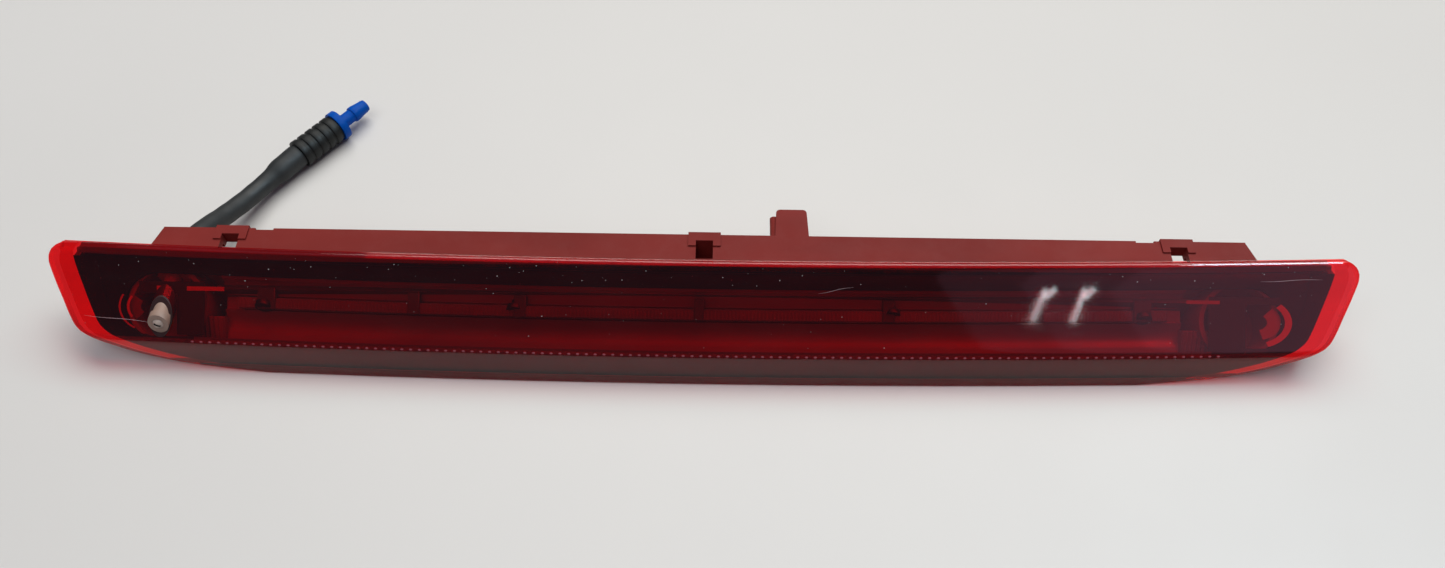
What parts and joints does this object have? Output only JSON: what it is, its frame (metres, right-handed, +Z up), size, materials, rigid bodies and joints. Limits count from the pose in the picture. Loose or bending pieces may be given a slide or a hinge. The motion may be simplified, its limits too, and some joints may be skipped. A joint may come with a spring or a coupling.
{
  "type": "third brake light",
  "caption": "Long slim high-level brake light with a bowed red lens, clip flange, LED board, rear-screen washer jet and a short hose with a non-return valve.",
  "frame": {"origin": "centre of the lamp's footprint on the surface that it rests on, without the hose and valve", "axes": "+X along the lamp away from the washer jet, -Y towards the lens front, +Z up from the resting face"},
  "size_m": [0.44, 0.1238, 0.0307],
  "materials": {
    "red_nylon": "satin moulded brick-red plastic",
    "red_acrylic": "polished transparent dark red acrylic",
    "black_plastic": "smooth black moulding",
    "carrier_plastic": "satin moulded red plastic",
    "clear_optic": "clear fluted moulding",
    "board_laminate": "green solder mask",
    "led_package": "white diode package",
    "chip_ceramic": "chip resistor",
    "chip_black": "black moulded package",
    "tinned_brass": "tin-plated brass",
    "zinc_steel": "zinc-plated steel",
    "vent_membrane": "white breather membrane",
    "beige_plastic": "weathered beige plastic",
    "beige_ball": "pale beige plastic",
    "black_rubber": "matt black rubber",
    "hose_rubber": "smooth black rubber hose",
    "valve_black": "ribbed black plastic",
    "blue_plastic": "bright blue plastic",
    "white_plastic": "natural acetal",
    "spring_steel": "bright spring wire"
  },
  "bodies": {
    "lamp": {"housing": "red_nylon", "outer_lens": "red_acrylic", "bezel": "black_plastic", "reflector": "carrier_plastic", "inner_optic": "clear_optic", "circuit_board": "board_laminate", "leds": "led_package", "resistors": "chip_ceramic", "driver_chips": "chip_black", "terminal_pins": "tinned_brass", "board_screws": "zinc_steel", "vent_patch": "vent_membrane", "nozzle_body": "beige_plastic", "lens_grommet": "black_rubber", "nozzle_gasket": "black_rubber", "nozzle_nut": "zinc_steel", "washer_hose": "hose_rubber", "valve_body": "valve_black", "valve_cap": "blue_plastic", "valve_spring": "spring_steel"},
    "ball": {"jet_ball": "beige_ball"},
    "plunger": {"valve_plunger": "white_plastic", "plunger_seal": "black_rubber"}
  },
  "joints": [
    {"name": "jet_aim", "type": "hinge", "parent": "lamp", "child": "ball", "pos_m": [-0.181, -0.01536, 0.01696], "axis": [1, 0, 0], "range_deg": [-12, 12]},
    {"name": "valve_open", "type": "slide", "parent": "lamp", "child": "plunger", "axis": [-0.6018, -0.7986, 0], "range_m": [0, 0.0015], "stiffness_N_per_m": 60, "springref_m": -0.002, "deforming": ["valve_spring"]}
  ]
}
